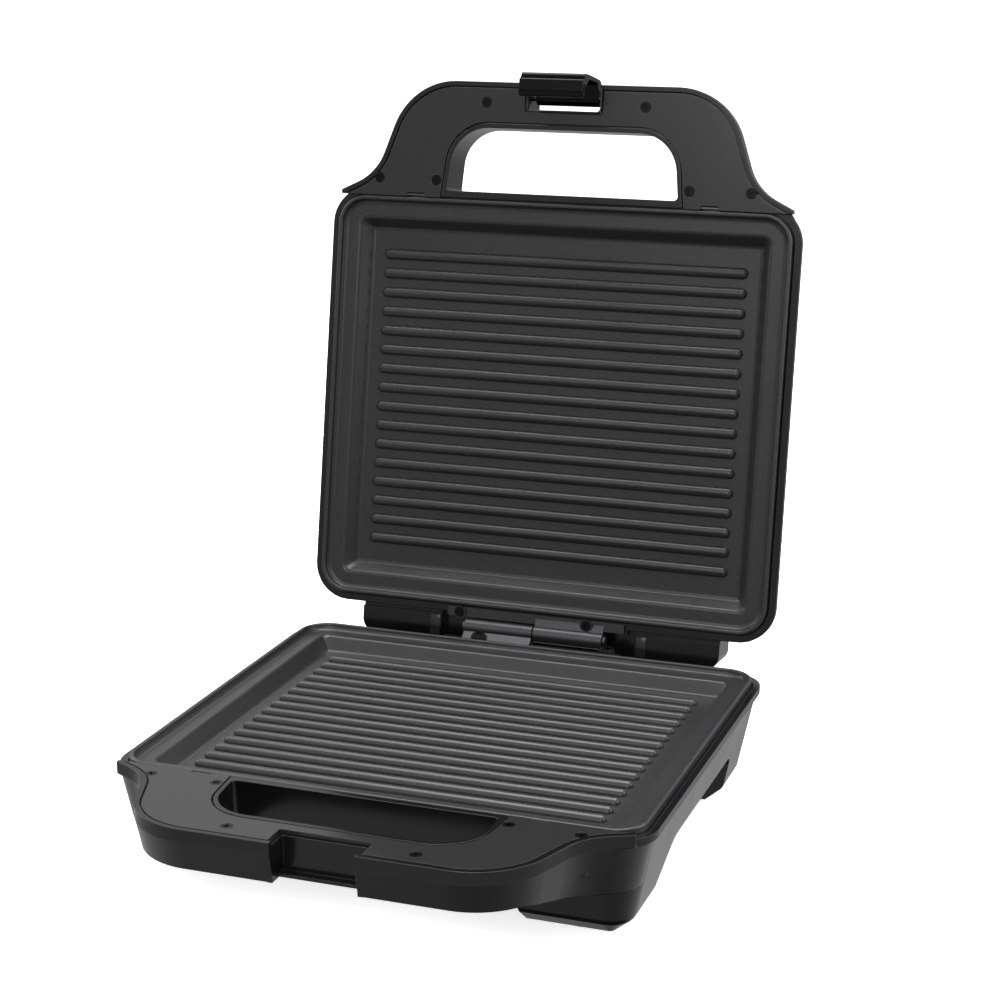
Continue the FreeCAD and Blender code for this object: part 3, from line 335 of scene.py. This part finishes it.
def add_lobe_strips():
    """A flat cover strip on the inner side of each lobe at the rear of the lid."""
    width, thick, margin, edge = 5.4 * MM, 0.3 * MM, 0.8 * MM, 0.12 * MM
    points = lobe_front_points()
    front = max(point.dot(LID_OUT) for point in points)
    inner = min(abs(point.x) for point in points)
    low_margin = 3 * margin
    low = min(point.dot(LID_UP) for point in points) + low_margin
    high = max(point.dot(LID_UP) for point in points) - margin
    for side, name in ((-1, "left"), (1, "right")):
        work = bmesh.new()
        bmesh.ops.create_cube(work, size=1.0)
        centre_x = side * (inner + margin + width / 2)
        centre = lid_point(centre_x, (low + high) / 2, front + thick / 2)
        for vertex in work.verts:
            x, up, out = vertex.co
            vertex.co = centre + lid_point(x * width, up * (high - low), out * thick)
        bmesh.ops.bevel(
            work, geom=list(work.edges), offset=edge, segments=2, profile=0.5, affect="EDGES"
        )
        add_piece(f"{name}_lobe_strip", work, "lid", "liner")


add_notch_frame()
add_mould_line("latch_mould_line", "latch")
add_lobe_strips()


# ---------------------------------------------------------------- floor, light and camera

# Radius and height in metres of the white sweep, from the level floor to its upright wall.
SWEEP = [(12.0, 0.0), (15.0, 0.4), (17.0, 1.6), (18.0, 4.0), (18.0, 12.0)]

FLOOR_WHITE = (0.93, 0.93, 0.93, 1)
FLOOR_GLOW = 0.75

# Brightness of the studio by height: 0 is straight below, 0.5 level, 1 straight above.
LOWEST_SHADE, HIGHEST_SHADE = 0.02, 0.9
WORLD_SHADES = [(0.08, 0.05), (0.18, 0.7), (0.3, 0.5), (0.42, 0.3), (0.56, 0.45), (0.72, 0.7)]

# Place, width, height and power of each soft light, in metres and watts.
LIGHTS = {
    "overhead": ((0.0, 0.5, 2.2), 2.0, 1.6, 66),
    "left_panel": ((-1.7, 0.3, 0.9), 0.9, 1.4, 12),
    "right_panel": ((1.6, 0.5, 0.6), 1.2, 1.2, 14),
    "front_fill": ((0.2, -2.2, 1.3), 1.4, 0.8, 15),
}
LIT_POINT = (0.0, 0.0, 0.15)

CAMERA_TARGET = Vector((0.02331, -0.0111, 0.1638))
CAMERA_AZIMUTH = math.radians(19.672)
CAMERA_ELEVATION = math.radians(15.218)
CAMERA_DISTANCE = 1.0317


def add_floor():
    """A white floor that turns up into a wall far away.

    It glows a little, so that it stays white, and the object isn't lit or mirrored by it.
    """
    work = bmesh.new()
    sides = 64
    turns = [2 * math.pi * k / sides for k in range(sides)]
    rings = [
        [work.verts.new((radius * math.cos(t), radius * math.sin(t), height)) for t in turns]
        for radius, height in SWEEP
    ]
    work.faces.new(rings[0])
    join_rings(work, rings)
    mesh = bpy.data.meshes.new("floor")
    work.to_mesh(mesh)
    work.free()
    floor = bpy.data.objects.new("floor", mesh)
    bpy.context.scene.collection.objects.link(floor)
    material, _, shader, _ = new_material("pale_floor")
    shader.inputs["Base Color"].default_value = FLOOR_WHITE
    shader.inputs["Roughness"].default_value = 0.9
    shader.inputs["Specular IOR Level"].default_value = 0.0
    shader.inputs["Emission Color"].default_value = (1.0, 1.0, 1.0, 1)
    shader.inputs["Emission Strength"].default_value = FLOOR_GLOW
    mesh.materials.append(material)
    floor.visible_glossy = False
    floor.visible_diffuse = False
    floor.visible_shadow = False


def aim(thing, target):
    thing.rotation_mode = "QUATERNION"
    thing.rotation_quaternion = (Vector(target) - thing.location).to_track_quat("-Z", "Y")


def add_light(name, place, width, height, power):
    data = bpy.data.lights.new(name, "AREA")
    data.shape = "RECTANGLE"
    data.size = width
    data.size_y = height
    data.energy = power
    light = bpy.data.objects.new(name, data)
    bpy.context.scene.collection.objects.link(light)
    light.location = place
    aim(light, LIT_POINT)


def make_world():
    """Soft light from all round: dark straight below, bright from the floor around, dim at level
    and brightest above.
    """
    world = bpy.data.worlds.new("studio")
    world.use_nodes = True
    tree = world.node_tree
    direction = tree.nodes.new("ShaderNodeTexCoord")
    split = tree.nodes.new("ShaderNodeSeparateXYZ")
    height = tree.nodes.new("ShaderNodeMapRange")
    height.inputs["From Min"].default_value = -1.0
    shades = tree.nodes.new("ShaderNodeValToRGB")
    stops = shades.color_ramp.elements
    stops[0].color = (LOWEST_SHADE, LOWEST_SHADE, LOWEST_SHADE, 1)
    stops[1].color = (HIGHEST_SHADE, HIGHEST_SHADE, HIGHEST_SHADE, 1)
    for place, grey in WORLD_SHADES:
        stops.new(place).color = (grey, grey, grey, 1)
    tree.links.new(direction.outputs["Generated"], split.inputs["Vector"])
    tree.links.new(split.outputs["Z"], height.inputs["Value"])
    tree.links.new(height.outputs["Result"], shades.inputs["Fac"])
    tree.links.new(shades.outputs["Color"], tree.nodes["Background"].inputs["Color"])
    return world


def add_studio():
    for name, (place, width, height, power) in LIGHTS.items():
        add_light(name, place, width, height, power)
    bpy.context.scene.world = make_world()
    bpy.context.scene.view_settings.view_transform = "Standard"


def add_camera():
    """Seen from the front right, a little above, through a long lens."""
    level = math.cos(CAMERA_ELEVATION)
    across, along = math.sin(CAMERA_AZIMUTH), -math.cos(CAMERA_AZIMUTH)
    back = Vector((across * level, along * level, math.sin(CAMERA_ELEVATION)))
    data = bpy.data.cameras.new("camera")
    data.lens = 80.0
    data.sensor_width = 36.0
    data.clip_start = 0.02
    camera = bpy.data.objects.new("camera", data)
    bpy.context.scene.collection.objects.link(camera)
    camera.location = CAMERA_TARGET + back * CAMERA_DISTANCE
    aim(camera, CAMERA_TARGET)
    bpy.context.scene.camera = camera


add_floor()
add_studio()
add_camera()
